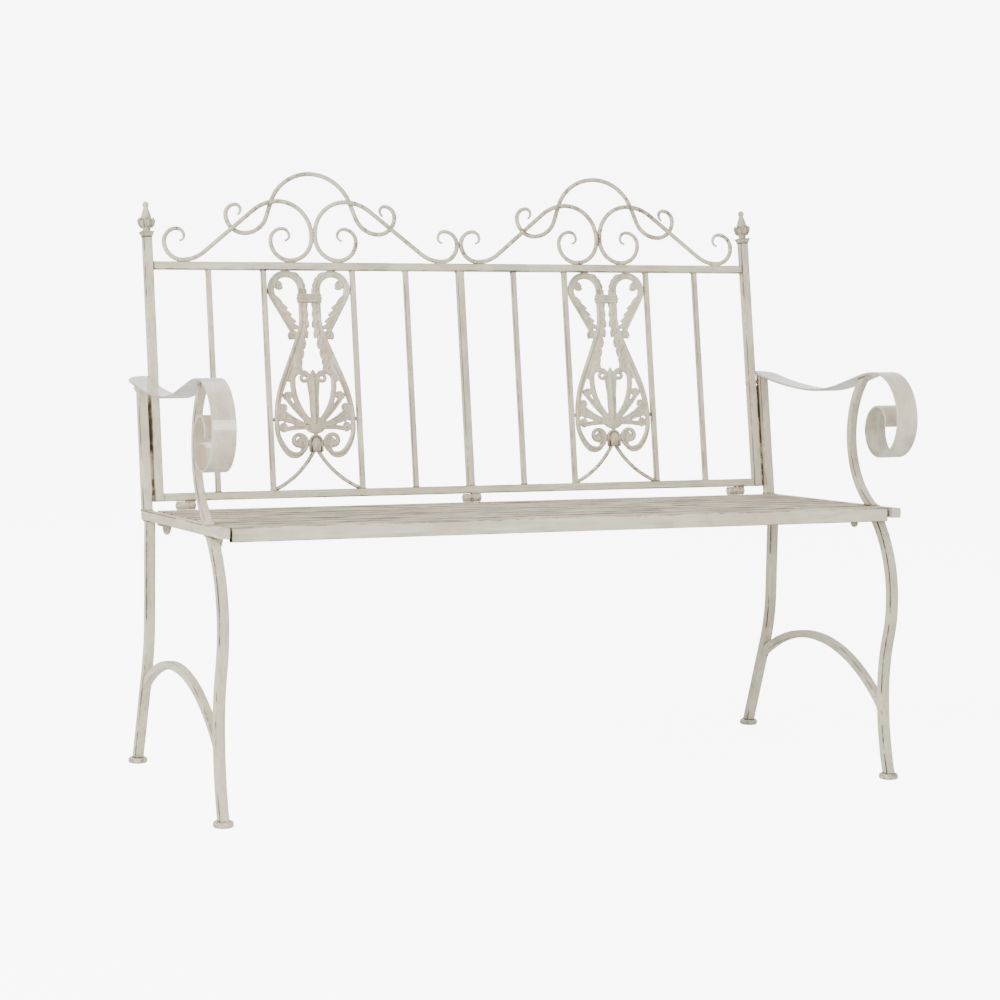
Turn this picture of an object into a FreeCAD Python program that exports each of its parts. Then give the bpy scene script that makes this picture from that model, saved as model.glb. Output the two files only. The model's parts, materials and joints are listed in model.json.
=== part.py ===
import FreeCAD, Part
import math
import os

# Painted steel garden bench. Millimetres. X runs along the bench, Y to the rear, Z up.
# It is drawn with the floor at Z 0 and the apron's front near Y 0, and every piece is
# moved at the end so that the origin is the middle of the footprint.

Vector = FreeCAD.Vector
X_AXIS = Vector(1, 0, 0)
Z_AXIS = Vector(0, 0, 1)

# Seat
seat_height = 450.0       # top of the front apron above the floor
seat_slope = 2.7          # degrees, down to the rear
seat_half = 558.2         # half of the seat's length
apron_face_y = -8.8
apron_height = 22.0
apron_depth = 12.0
slat_count = 9
slat_width = 38.0
slat_gap = 8.0
slat_thickness = 3.0
first_slat = 18.8         # from the apron's face to the front edge of the first slat
bearer_x = 190.0

# Tubes and bars
side_tube = 16.0
side_wall = 1.5
support_tube = 13.0       # the leg arches and arm supports
stile_tube = 15.0
back_rail = 13.0
back_wall = 1.2
small_bar = 8.0
centre_bar_size = 12.0
scroll_rod = 7.0
stay_rod = 6.0
weld_sink = 0.4           # how far a welded round rod is let into what it stands on

# Side frames
side_x = 571.0            # middle plane of each side frame
rail_front = -6.5         # along the seat from the apron's face
rail_end = 448.5
plug_thickness = 2.0
foot_height = 9.0
foot_radius = 15.8
foot_rounding = 2.8
front_leg_start = (-17.7, 5.0)
front_leg_heading = 69.1
front_leg_moves = [(420.0, 20.9), (277.0, 16.8), (190.0, -72.0)]
rear_leg_start = (488.7, 5.0)
rear_leg_heading = 110.3
rear_leg_moves = [(167.4,), (268.0, -20.3), (230.0,)]
leg_arch_centre = (240.0, -149.0)
leg_arch_radius = 349.0
leg_arch_from = 132.0     # degrees about its centre
leg_arch_to = 55.0
arm_support_centre = (8.8, 564.5)
arm_support_radius = 131.5
arm_support_from = -70.0
arm_support_to = 54.0

# Armrests: a flat strip, drawn along its upper and outer face from the rear end
armrest_width = 38.0
armrest_thickness = 4.0
armrest_inner_x = 557.8
armrest_corner = 30.0     # radius of the outer corner at the rear end
armrest_start = (481.82, 646.04)
armrest_heading = 189.8
armrest_dip = [(12.0,), (1125.0, -9.8), (404.7, -15.5)]
armrest_rise = [(75.5,)]
armrest_crest = [(195.4, 15.5)]
armrest_scroll = [(78.0, 90.0), (62.0, 90.0), (45.0, 90.0), (41.0, 90.0), (27.0, 105.0)]

# Back, drawn upright on its own front plane and then leaned to the rear
recline = 10.46
back_face_y = 431.3       # of its front plane at seat height
stile_x = 549.7
stile_top = 881.0
bottom_rail_low = 443.6
top_rail_high = 840.1
small_bar_x = (99.5, 195.6, 352.8, 448.0)
ornament_x = 274.2
scroll_group_x = 263.0
post_depth_from = -4.0    # the rear posts stand a little ahead of the stiles
post_cap = 2.0
spacer_recess = 5.0       # behind the front of the stiles
bolt_height = 631.0       # up the back's front plane
bolt_depth = 7.5
spacer_top = 624.0

# Hinges
hinge_y = 434.0
hinge_z = 435.0
hinge_x = (-505.0, 0.0, 505.0)
knuckle_radius = 7.0
knuckle_length = 15.0
knuckle_gap = 0.2         # each side of the joint between two knuckles
pin_radius = 3.0
pin_clearance = 0.05

# Fasteners
thread = 6.0
slot_width = 7.0
button_radius = 5.5       # low cap nuts inside the stiles
button_height = 3.0
stud_thread = 8.0
nut_across = 13.0
nut_height = 6.5
running_gap = 0.3
bracket_thickness = 4.0
bracket_width = 30.0
bracket_inner_x = 536.0
stud_x = 551.0
stud_along = (97.0, 392.0)  # from the apron's face


# ---- drawing helpers: a track is a start, a heading and its straight runs and turns ----

def trace(start, heading, moves, offset=0.0):
    x, y = start
    angle = math.radians(heading)
    edges = []

    def point(px, py, direction):
        return Vector(px - offset * math.sin(direction), py + offset * math.cos(direction), 0)

    for move in moves:
        first = point(x, y, angle)
        if len(move) == 1:
            x += move[0] * math.cos(angle)
            y += move[0] * math.sin(angle)
            edges.append(Part.makeLine(first, point(x, y, angle)))
            continue
        radius, turn = move
        side = math.copysign(1.0, turn)
        cx = x - side * radius * math.sin(angle)
        cy = y + side * radius * math.cos(angle)

        def on_arc(direction):
            return cx + side * radius * math.sin(direction), cy - side * radius * math.cos(direction)

        half = angle + math.radians(turn) / 2
        middle = point(*on_arc(half), half)
        angle += math.radians(turn)
        x, y = on_arc(angle)
        edges.append(Part.Arc(first, middle, point(x, y, angle)).toShape())
    return edges


def band(start, heading, moves, left, right, thickness):
    one = trace(start, heading, moves, left)
    other = trace(start, heading, moves, right)
    caps = [
        Part.makeLine(one[0].valueAt(one[0].FirstParameter), other[0].valueAt(other[0].FirstParameter)),
        Part.makeLine(one[-1].valueAt(one[-1].LastParameter), other[-1].valueAt(other[-1].LastParameter)),
    ]
    wire = Part.Wire(Part.__sortEdges__(one + other + caps))
    return Part.Face(wire).extrude(Vector(0, 0, thickness))


def polygon(points, thickness):
    corners = [Vector(x, y, 0) for x, y in points]
    return Part.Face(Part.makePolygon(corners + corners[:1])).extrude(Vector(0, 0, thickness))


def disc(centre, radius, thickness):
    return Part.makeCylinder(radius, thickness, Vector(centre[0], centre[1], 0))


def rod(start, heading, moves, diameter):
    path = Part.Wire(trace(start, heading, moves))
    angle = math.radians(heading)
    tangent = Vector(math.cos(angle), math.sin(angle), 0)
    section = Part.Wire(Part.makeCircle(diameter / 2, Vector(start[0], start[1], 0), tangent))
    return path.makePipeShell([section], True, False)


def box(x0, x1, y0, y1, z0, z1):
    return Part.makeBox(x1 - x0, y1 - y0, z1 - z0, Vector(x0, y0, z0))


def tube(x0, x1, y0, y1, z0, z1, wall, along):
    inner = {"x": [x0, x1], "y": [y0, y1], "z": [z0, z1]}
    for axis, pair in inner.items():
        if axis != along:
            pair[0] += wall
            pair[1] -= wall
    return box(x0, x1, y0, y1, z0, z1).cut(box(*inner["x"], *inner["y"], *inner["z"]))


def fused(shapes):
    whole = shapes[0]
    if len(shapes) > 1:
        whole = whole.fuse(shapes[1:])
    return whole.removeSplitter()


def largest(shape):
    return max(shape.Solids, key=lambda solid: solid.Volume)


def group(shapes):
    return Part.makeCompound([solid for shape in shapes for solid in shape.Solids])


def mirrored(shape):
    return shape.mirror(Vector(0, 0, 0), X_AXIS)


def side_drawing(shape, x0):
    # a drawing of (Y, Z) given its thickness along X, from x0
    turned = shape.copy()
    turned.rotate(Vector(0, 0, 0), Vector(1, 1, 1), 120)
    turned.translate(Vector(x0, 0, 0))
    return turned


def on_seat(shape):
    # from seat lengths: Y from the apron's face, Z from the seat's top
    placed = shape.copy()
    placed.rotate(Vector(0, 0, 0), X_AXIS, -seat_slope)
    placed.translate(Vector(0, apron_face_y, seat_height))
    return placed


def on_back(shape):
    # from back lengths: Y behind the front plane, Z up the plane from the floor's level
    placed = shape.copy()
    placed.translate(Vector(0, 0, -seat_height))
    placed.rotate(Vector(0, 0, 0), X_AXIS, -recline)
    placed.translate(Vector(0, back_face_y, seat_height))
    return placed


def back_drawing(shape, depth):
    # a drawing of (X, height) whose thickness starts at this depth behind the front plane
    turned = shape.copy()
    turned.rotate(Vector(0, 0, 0), X_AXIS, 90)
    thickness = turned.BoundBox.YLength
    turned.translate(Vector(0, depth + thickness, 0))
    return on_back(turned)


# ---- side frames, drawn for the right-hand side and mirrored for the left ----

def square_tube(start, heading, moves, size=side_tube):
    half = size / 2
    core = half - side_wall
    outer = side_drawing(band(start, heading, moves, half, -half, size), side_x - half)
    inner = side_drawing(band(start, heading, moves, core, -core, 2 * core), side_x - core)
    return outer, outer.cut(inner)


def arc_track(centre, radius, start, end):
    first = math.radians(start)
    point = (centre[0] + radius * math.cos(first), centre[1] + radius * math.sin(first))
    turn = end - start
    return point, start + math.copysign(90.0, turn), [(radius, turn)]


def side_frame():
    far = 1000.0
    over_rail_bottom = on_seat(box(0, far, -far, far, -side_tube, far))
    under_rail_top = on_seat(box(0, far, -far, far, -far, 0))
    under_foot_top = box(0, far, -far, far, -far, foot_height)
    arm_line = armrest_dip + armrest_rise + armrest_crest
    behind, line = run_up(armrest_start, armrest_heading, 30.0, arm_line)
    over_strip = side_drawing(band(behind, armrest_heading, line, armrest_thickness, -80.0, far), 0)
    cap_depth = armrest_thickness + post_cap
    cap_layer = side_drawing(band(behind, armrest_heading, line, cap_depth, armrest_thickness, far), 0)

    inner_x = side_x - side_tube / 2
    outer_x = side_x + side_tube / 2
    rail = on_seat(tube(inner_x, outer_x, rail_front + plug_thickness, rail_end - plug_thickness,
                        -side_tube, 0, side_wall, "y"))

    front_outer, front_leg = square_tube(front_leg_start, front_leg_heading, front_leg_moves)
    rear_outer, rear_leg = square_tube(rear_leg_start, rear_leg_heading, rear_leg_moves)
    front_leg = largest(front_leg.cut([over_rail_bottom, under_foot_top]))
    rear_leg = largest(rear_leg.cut([over_rail_bottom, under_foot_top]))

    arch_track = arc_track(leg_arch_centre, leg_arch_radius, leg_arch_from, leg_arch_to)
    leg_arch = largest(square_tube(*arch_track, support_tube)[1].cut([front_outer, rear_outer]))

    support_track = arc_track(arm_support_centre, arm_support_radius, arm_support_from, arm_support_to)
    support = largest(square_tube(*support_track, support_tube)[1].cut([under_rail_top, over_strip]))

    post = on_back(tube(inner_x, outer_x, post_depth_from, post_depth_from + side_tube,
                        seat_height - 60, seat_height + 240, side_wall, "z"))
    cap = on_back(box(inner_x, outer_x, post_depth_from, post_depth_from + side_tube,
                      seat_height, seat_height + 240))
    post = post.fuse(cap.common(cap_layer)).removeSplitter()
    post = post.cut(bolt_hole(thread / 2 + running_gap))
    post = largest(post.cut([under_rail_top, over_strip]))

    strip = band(armrest_start, armrest_heading, arm_line + armrest_scroll,
                 armrest_thickness, 0, armrest_width)
    armrest = side_drawing(strip, armrest_inner_x).cut(armrest_end_corner())
    return {"side_rail": rail, "front_leg": front_leg, "rear_leg": rear_leg, "leg_arch": leg_arch,
            "arm_support": support, "rear_post": post, "armrest": armrest}


def run_up(start, heading, length, moves):
    # the same track with a straight run added before its start
    angle = math.radians(heading)
    behind = (start[0] - length * math.cos(angle), start[1] - length * math.sin(angle))
    return behind, [(length,)] + moves


def armrest_end_corner():
    # what is rounded away from the outer corner at the rear end
    low = armrest_start[1] - 40
    outer_x = armrest_inner_x + armrest_width
    middle_x = outer_x - armrest_corner
    middle_y = armrest_start[0] - armrest_corner
    block = box(middle_x, outer_x + 10, middle_y, middle_y + 60, low, low + 80)
    return block.cut(Part.makeCylinder(armrest_corner, 80, Vector(middle_x, middle_y, low)))


def bolt_hole(radius):
    shank = Part.makeCylinder(radius, 100, Vector(side_x - 60, bolt_depth, bolt_height), X_AXIS)
    return on_back(shank)


def foot(y):
    shape = Part.makeCylinder(foot_radius, foot_height)
    rims = [edge for edge in shape.Edges if abs(edge.BoundBox.ZLength) < 0.01]
    shape = shape.makeFillet(foot_rounding, rims)
    shape.translate(Vector(side_x, y, 0))
    return shape


def rail_plug(along):
    half = side_tube / 2
    return on_seat(box(side_x - half, side_x + half, along, along + plug_thickness, -side_tube, 0))


def seat_bracket(along):
    # an angle welded to the side rail's inner face, with its foot under the seat's end tube
    half = bracket_width / 2
    inner_face = side_x - side_tube / 2
    under = -slat_thickness - side_tube
    upright = box(inner_face - bracket_thickness, inner_face, along - half, along + half,
                  under - bracket_thickness, -2)
    ledge = box(bracket_inner_x, inner_face, along - half, along + half, under - bracket_thickness, under)
    hole = Part.makeCylinder(stud_thread / 2 + running_gap, 40, Vector(stud_x, along, under - 20))
    return on_seat(upright.fuse(ledge).removeSplitter().cut(hole))


def spacer_strip():
    # packs the gap between the stile and the rear post, from the bottom rail to below the bolt
    outer_face = stile_x + stile_tube / 2 + running_gap
    return on_back(box(outer_face, side_x - side_tube / 2, spacer_recess, side_tube - 4,
                       bottom_rail_low, spacer_top))


# ---- seat ----

def seat():
    wall = side_wall
    low = -slat_thickness - side_tube
    high = -slat_thickness
    last_slat = first_slat + slat_count * slat_width + (slat_count - 1) * slat_gap
    rear_from = last_slat - side_tube + 4
    pieces = {}
    apron = tube(-seat_half, seat_half, 0, apron_depth, -apron_height, 0, wall, "x")
    pieces["front_apron"] = on_seat(apron)
    rear = tube(-seat_half, seat_half, rear_from, rear_from + side_tube, low, high, wall, "x")
    pieces["rear_seat_rail"] = on_seat(rear)
    hole = fused([Part.makeCylinder(stud_thread / 2, side_wall * 2, Vector(stud_x, along, low - wall))
                  for along in stud_along])
    end = tube(seat_half - side_tube, seat_half, apron_depth, rear_from, low, high, wall, "y").cut(hole)
    pieces["right_seat_end"] = on_seat(end)
    pieces["left_seat_end"] = mirrored(pieces["right_seat_end"])
    bearers = [tube(x - side_tube / 2, x + side_tube / 2, apron_depth, rear_from, low, high, wall, "y")
               for x in (-bearer_x, bearer_x)]
    pieces["seat_bearers"] = group([on_seat(bearer) for bearer in bearers])
    for number in range(slat_count):
        along = first_slat + number * (slat_width + slat_gap)
        slat = box(-seat_half, seat_half, along, along + slat_width, high, 0)
        pieces[f"seat_slat_{number + 1}"] = on_seat(slat)
    return pieces


# ---- back ----

def stile():
    half = stile_tube / 2
    shape = tube(stile_x - half, stile_x + half, 0, stile_tube, bottom_rail_low, stile_top, back_wall, "z")
    # a slot open to the rear, so that the back folds once its bolts are loose
    slot = box(stile_x - stile_tube, stile_x + stile_tube, bolt_depth, stile_tube + 1,
               bolt_height - slot_width / 2, bolt_height + slot_width / 2)
    root = Part.makeCylinder(slot_width / 2, 2 * stile_tube,
                             Vector(stile_x - stile_tube, bolt_depth, bolt_height), X_AXIS)
    return on_back(shape.cut([slot, root]))


def cross_rail(low, high):
    depth = (stile_tube - back_rail) / 2
    reach = stile_x - stile_tube / 2
    return on_back(tube(-reach, reach, depth, depth + back_rail, low, high, back_wall, "x"))


def upright_bar(x, size):
    depth = (stile_tube - size) / 2
    low = bottom_rail_low + back_rail
    high = top_rail_high - back_rail
    return on_back(box(x - size / 2, x + size / 2, depth, depth + size, low, high))


def end_scroll(outward):
    # the S-shaped rod of a scroll group, from its small outer scroll to the large C at the middle
    rest = top_rail_high + scroll_rod / 2 - weld_sink
    outer_foot = (-229.5, rest)
    outer = [(29.8, -90.0), (22.5, -90.0), (12.0, -90.0), (8.0, -90.0)]
    rise = 38.9
    inner = [(60.0, rise), (114.0,), (69.6, -rise), (56.2, -90.0), (4.7,), (39.4, -90.0), (33.0, -90.0),
             (21.0, -90.0), (12.0, -90.0), (8.0, -90.0)]
    shape = fused([rod(outer_foot, 180, outer, scroll_rod), rod(outer_foot, 0, inner, scroll_rod)])
    return shape if outward < 0 else mirrored(shape)


def scroll_arch():
    # the arch over a pair of S rods, with a small curled scroll at each end
    apex = (0.0, 992.0)
    half = [(74.5, -70.0), (27.0,), (42.0, 70.0), (31.0, 90.0), (17.5, 90.0), (8.5, 90.0), (10.0, 60.0)]
    one = rod(apex, 0, half, scroll_rod)
    return fused([one, mirrored(one)])


def scrolls():
    front = 0.5
    rail = cross_rail(top_rail_high - back_rail, top_rail_high)
    pieces = {}
    for side, x in (("left", -scroll_group_x), ("right", scroll_group_x)):
        pair = []
        for outward in (-1, 1):
            shape = end_scroll(outward)
            shape.translate(Vector(x, 0, 0))
            shape = back_drawing(shape, front).cut([rail] + pair)
            pair.append(largest(shape))
        outer, inner = pair if side == "left" else pair[::-1]
        arch = scroll_arch()
        arch.translate(Vector(x, 0, 0))
        arch = back_drawing(arch, front + scroll_rod - weld_sink).cut(pair)
        pieces[f"{side}_outer_scroll"] = outer
        pieces[f"{side}_inner_scroll"] = inner
        pieces[f"{side}_scroll_arch"] = largest(arch)
    return pieces


def ornament():
    # a cast lyre with a palmette in its bowl, right half drawn and mirrored
    thick = 7.0
    neck = [(46.6,), (90.0, 22.5), (81.1,)]
    leaf = [(46.6,), (95.0, 20.5), (64.0,)]
    bowl = [(180.0, -22.5), (69.7, -40.0), (19.8, -50.0), (17.0, -90.0), (12.5, -90.0), (9.0, -90.0),
            (7.0, -90.0)]
    half = [
        band((31.2, 725.4), 60, [(64.4,), (26.5, 210.0)], 5.5, -5.5, thick),
        band((13.6, 796.0), 270, neck, 3.5, -3.5, thick),
        band((11.0, 796.0), 270, leaf, 3.5, -6.5, thick),
        band((51.5, 640.0), 292.5, bowl, 4.4, -4.4, thick),
        disc((34.5, 716.0), 6.5, thick),
        disc((15.0, 648.5), 6.5, thick),
        band((46.0, 652.0), 240, [(25.0,), (120.0, -5.0), (50.0,)], 2.5, -2.5, thick),
    ]
    for ball in ((45.0, 618.0), (53.0, 597.0), (55.0, 563.5)):
        heading = math.degrees(math.atan2(ball[1] - 570.0, ball[0]))
        reach = math.hypot(ball[0], ball[1] - 570.0)
        half.append(band((0.0, 570.0), heading, [(reach,)], 3.0, -3.0, thick))
        half.append(disc(ball, 6.0, thick))
    # lugs welded to the bars on each side
    bar_face = (small_bar_x[2] - small_bar_x[1] - small_bar) / 2
    half.append(polygon([(64, 787), (bar_face, 787), (bar_face, 792), (64, 792)], thick))
    half.append(polygon([(62, 573), (bar_face, 573), (bar_face, 578), (62, 578)], thick))
    centre = [
        disc((0.0, 568.0), 14.0, thick),
        polygon([(-6.5, 580), (6.5, 580), (8, 639), (0, 659), (-8, 639)], thick),
        polygon([(-6.5, 521), (6.5, 521), (10, 540), (8, 562), (-8, 562), (-10, 540)], thick),
    ]
    return fused(half + [mirrored(shape) for shape in half] + centre)


def binding():
    return polygon([(-22, 772), (22, 772), (22, 787), (-22, 787)], 10.0)


def stay():
    start = (4.5, 521.0)
    return rod(start, -60, [(150.0, 36.0), (6.0,)], stay_rod)


def ornaments():
    pieces = {}
    bindings = []
    stays = []
    depth = (stile_tube - 7.0) / 2
    rails = [cross_rail(bottom_rail_low, bottom_rail_low + back_rail),
             cross_rail(top_rail_high - back_rail, top_rail_high)]
    bars = [upright_bar(sign * x, small_bar) for x in small_bar_x for sign in (-1, 1)]
    for side, x in (("left", -ornament_x), ("right", ornament_x)):
        casting = ornament()
        casting.translate(Vector(x, 0, 0))
        casting = back_drawing(casting, depth).cut(rails + bars)
        pieces[f"{side}_ornament"] = largest(casting)
        clasp = binding()
        clasp.translate(Vector(x, 0, 0))
        bindings.append(back_drawing(clasp, depth - 1.5).cut(casting))
        for shape in (stay(), mirrored(stay())):
            shape.translate(Vector(x, 0, 0))
            placed = back_drawing(shape, (stile_tube - stay_rod) / 2)
            stays.append(largest(placed.cut(rails + bars + [casting])))
    pieces["ornament_bindings"] = group(bindings)
    pieces["ornament_stays"] = group(stays)
    return pieces


def finial():
    collar = box(-9.5, 9.5, -9.5, 9.5, 0, 8.5)
    outline = [(0, 8.5), (5.7, 8.5), (5.7, 14), (9, 20), (14, 27), (13, 34), (8, 42), (3.8, 50)]
    profile = Part.makePolygon([Vector(r, 0, z) for r, z in outline] + [Vector(0, 0, 50), Vector(0, 0, 8.5)])
    crown = Part.Face(profile).revolve(Vector(0, 0, 0), Z_AXIS, 360)
    ball = Part.makeSphere(5.5, Vector(0, 0, 53.5))
    shape = fused([collar, crown, ball])
    shape.translate(Vector(stile_x, stile_tube / 2, stile_top))
    return on_back(shape)


# ---- hinges: three weld-on barrels ----

def knuckle(x0, bore):
    barrel = Part.makeCylinder(knuckle_radius, knuckle_length, Vector(x0, hinge_y, hinge_z), X_AXIS)
    hole = Part.makeCylinder(bore, knuckle_length + 2, Vector(x0 - 1, hinge_y, hinge_z), X_AXIS)
    return barrel, hole


def hinges(rear_rail, bottom_rail):
    seat_parts = []
    back_parts = []
    pins = []
    for x in hinge_x:
        x0 = x - knuckle_gap - knuckle_length
        barrel, hole = knuckle(x0, pin_radius)
        tongue = polygon([(419.5, 413), (419.5, 425.5), (428.5, 430.8), (436, 428.6)], knuckle_length)
        seat_parts.append(barrel.fuse(side_drawing(tongue, x0)).removeSplitter().cut([hole, rear_rail]))
        x0 = x + knuckle_gap
        barrel, hole = knuckle(x0, pin_radius + pin_clearance)
        tongue = polygon([(429.5, 437), (440.5, 435.5), (440.5, 444.5), (429.5, 444.5)], knuckle_length)
        back_parts.append(barrel.fuse(side_drawing(tongue, x0)).removeSplitter().cut([hole, bottom_rail]))
        reach = knuckle_length + knuckle_gap
        shank = Part.makeCylinder(pin_radius, 2 * reach, Vector(x - reach, hinge_y, hinge_z), X_AXIS)
        heads = [Part.makeCylinder(4.2, 1.5, Vector(end, hinge_y, hinge_z), X_AXIS)
                 for end in (x - reach - 1.5, x + reach + 0.1)]
        neck = Part.makeCylinder(pin_radius, 0.2, Vector(x + reach, hinge_y, hinge_z), X_AXIS)
        pins.append(fused([shank, neck] + heads))
    return {"hinge_seat_knuckles": group(seat_parts), "hinge_back_knuckles": group(back_parts),
            "hinge_pins": group(pins)}


# ---- fasteners ----

def hexagon(height):
    radius = nut_across / math.sqrt(3)
    corners = [(radius * math.cos(math.radians(60 * k + 30)), radius * math.sin(math.radians(60 * k + 30)))
               for k in range(6)]
    return polygon(corners, height)


def cap_nut():
    # a domed nut standing on Z 0, with a blind hole from below
    dome = Part.makeSphere(nut_across / 2 - 0.3, Vector(0, 0, nut_height + 2))
    dome = dome.common(box(-10, 10, -10, 10, nut_height - 1, 30))
    neck = Part.makeCylinder(nut_across / 2 - 0.3, 3, Vector(0, 0, nut_height - 1))
    hole = Part.makeCylinder(stud_thread / 2, nut_height + 2)
    return fused([hexagon(nut_height), neck, dome]).cut(hole)


def button_nut():
    # a low round one, also on Z 0
    radius = (button_radius ** 2 + button_height ** 2) / (2 * button_height)
    cap = Part.makeSphere(radius, Vector(0, 0, button_height - radius))
    hole = Part.makeCylinder(thread / 2, 1.6)
    return cap.common(box(-10, 10, -10, 10, 0, 10)).cut(hole)


def fasteners():
    under = -slat_thickness - side_tube
    bolts = []
    nuts = []
    for along in stud_along:
        stud = Part.makeCylinder(stud_thread / 2, side_wall + bracket_thickness + nut_height + 1,
                                 Vector(stud_x, along, under - bracket_thickness - nut_height - 1))
        nut = cap_nut()
        nut.rotate(Vector(0, 0, 0), X_AXIS, 180)
        nut.translate(Vector(stud_x, along, under - bracket_thickness))
        bolts.append(on_seat(stud))
        nuts.append(on_seat(nut))
    outer_face = side_x + side_tube / 2
    inner_face = stile_x - stile_tube / 2 - running_gap
    seat_on = Vector(outer_face, bolt_depth, bolt_height)
    head = Part.makeSphere(7.5, Vector(-3.5, 0, 0)).common(box(0, 10, -10, 10, -10, 10))
    head.translate(seat_on)
    length = outer_face - inner_face + 1.4
    shank = Part.makeCylinder(thread / 2, length, seat_on - Vector(length, 0, 0), X_AXIS)
    bolts.append(on_back(shank.fuse(head).removeSplitter()))
    nut = button_nut()
    nut.rotate(Vector(0, 0, 0), Vector(0, 1, 0), -90)
    nut.translate(Vector(inner_face, bolt_depth, bolt_height))
    nuts.append(on_back(nut))
    return bolts, nuts


def both_sides(shapes):
    return group(shapes + [mirrored(shape) for shape in shapes])


def build():
    pieces = {}
    for name, shape in side_frame().items():
        pieces[f"right_{name}"] = shape
        pieces[f"left_{name}"] = mirrored(shape)
    for name, y in (("front_foot", front_foot_y()), ("rear_foot", rear_foot_y())):
        pieces[f"right_{name}"] = foot(y)
        pieces[f"left_{name}"] = mirrored(foot(y))
    pieces["rail_plugs"] = both_sides([rail_plug(rail_front), rail_plug(rail_end - plug_thickness)])
    pieces["seat_brackets"] = both_sides([seat_bracket(along) for along in stud_along])
    pieces["spacer_strips"] = both_sides([spacer_strip()])
    pieces.update(seat())

    pieces["right_stile"] = stile()
    pieces["left_stile"] = mirrored(stile())
    pieces["bottom_rail"] = cross_rail(bottom_rail_low, bottom_rail_low + back_rail)
    pieces["top_rail"] = cross_rail(top_rail_high - back_rail, top_rail_high)
    pieces["centre_bar"] = upright_bar(0.0, centre_bar_size)
    pieces["left_bars"] = group([upright_bar(-x, small_bar) for x in small_bar_x])
    pieces["right_bars"] = group([upright_bar(x, small_bar) for x in small_bar_x])
    pieces.update(scrolls())
    pieces.update(ornaments())
    pieces["right_finial"] = finial()
    pieces["left_finial"] = mirrored(finial())

    pieces.update(hinges(pieces["rear_seat_rail"], pieces["bottom_rail"]))
    bolts, nuts = fasteners()
    pieces["frame_bolts"] = both_sides(bolts)
    pieces["cap_nuts"] = both_sides(nuts)
    return pieces


def front_foot_y():
    return track_y(front_leg_start, front_leg_heading, front_leg_moves[0], foot_height)


def rear_foot_y():
    rise = math.tan(math.radians(rear_leg_heading))
    return rear_leg_start[0] + (foot_height - rear_leg_start[1]) / rise


def track_y(start, heading, move, height):
    # Y of a leg's first bend, which turns left, at this height
    radius = move[0]
    angle = math.radians(heading)
    cy = start[0] - radius * math.sin(angle)
    cz = start[1] + radius * math.cos(angle)
    return cy + math.sqrt(radius ** 2 - (height - cz) ** 2)


pieces = build()
whole = Part.makeCompound(list(pieces.values())).optimalBoundingBox(False)
shift = Vector(0, -(whole.YMin + whole.YMax) / 2, 0)
os.makedirs("parts", exist_ok=True)
for name, shape in pieces.items():
    shape.translate(shift)
    if not shape.isValid():
        print("not valid:", name)
    shape.exportStep(f"parts/{name}.step")
print(len(pieces), "pieces; size", [round(v, 1) for v in (whole.XLength, whole.YLength, whole.ZLength)])
print("moved along Y by", round(shift.y, 3), "; lowest point", round(whole.ZMin, 3))
print("hinge axis at Y", round(hinge_y + shift.y, 3), "Z", hinge_z)
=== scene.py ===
import json
import math

import bpy
from mathutils import Euler, Matrix, Vector


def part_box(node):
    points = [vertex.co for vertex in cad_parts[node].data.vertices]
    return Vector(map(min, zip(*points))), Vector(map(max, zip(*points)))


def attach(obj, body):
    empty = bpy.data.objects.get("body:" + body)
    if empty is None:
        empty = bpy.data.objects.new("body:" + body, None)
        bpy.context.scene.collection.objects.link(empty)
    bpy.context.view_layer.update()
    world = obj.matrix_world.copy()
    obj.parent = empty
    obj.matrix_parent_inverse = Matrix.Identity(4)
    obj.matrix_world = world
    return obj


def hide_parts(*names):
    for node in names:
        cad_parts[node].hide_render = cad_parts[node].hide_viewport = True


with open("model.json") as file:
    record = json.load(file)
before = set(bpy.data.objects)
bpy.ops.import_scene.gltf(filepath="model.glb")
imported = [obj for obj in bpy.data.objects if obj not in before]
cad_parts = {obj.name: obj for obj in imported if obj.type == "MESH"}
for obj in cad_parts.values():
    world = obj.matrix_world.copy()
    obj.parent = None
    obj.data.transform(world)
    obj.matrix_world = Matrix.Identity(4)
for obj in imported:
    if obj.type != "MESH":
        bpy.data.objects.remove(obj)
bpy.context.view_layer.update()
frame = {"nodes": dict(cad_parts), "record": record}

mm = 0.001

viewpoint = {
    "place": (-1.7048, -4.1265, 0.925),
    "turn": -22.21,        # degrees
    "tilt": -6.08,
    "roll": 0.91,
    "lens": 97.83,
}


def makeCamera():
    data = bpy.data.cameras.new("camera")
    data.lens = viewpoint["lens"]
    data.clip_start = 0.1
    data.clip_end = 200
    camera = bpy.data.objects.new("camera", data)
    bpy.context.scene.collection.objects.link(camera)
    aim = Euler((math.radians(90 + viewpoint["tilt"]), 0, math.radians(viewpoint["turn"]))).to_matrix()
    camera.rotation_euler = (aim @ Matrix.Rotation(math.radians(viewpoint["roll"]), 3, "Z")).to_euler()
    camera.location = viewpoint["place"]
    bpy.context.scene.camera = camera


makeCamera()
print("camera ready")


class Wire:
    # one socket of a material, so that + - * / ** add its Math nodes
    def __init__(self, paint, socket):
        self.paint = paint
        self.socket = socket

    def math(self, operation, first, second=0.0):
        return self.paint.add("Math", {"operation": operation}, {0: first, 1: second})

    def __add__(self, other):
        return self.math("ADD", self, other)

    __radd__ = __add__

    def __sub__(self, other):
        return self.math("SUBTRACT", self, other)

    def __rsub__(self, other):
        return self.math("SUBTRACT", other, self)

    def __mul__(self, other):
        return self.math("MULTIPLY", self, other)

    __rmul__ = __mul__

    def __pow__(self, other):
        return self.math("POWER", self, other)

    def __abs__(self):
        return self.math("ABSOLUTE", self)


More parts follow.
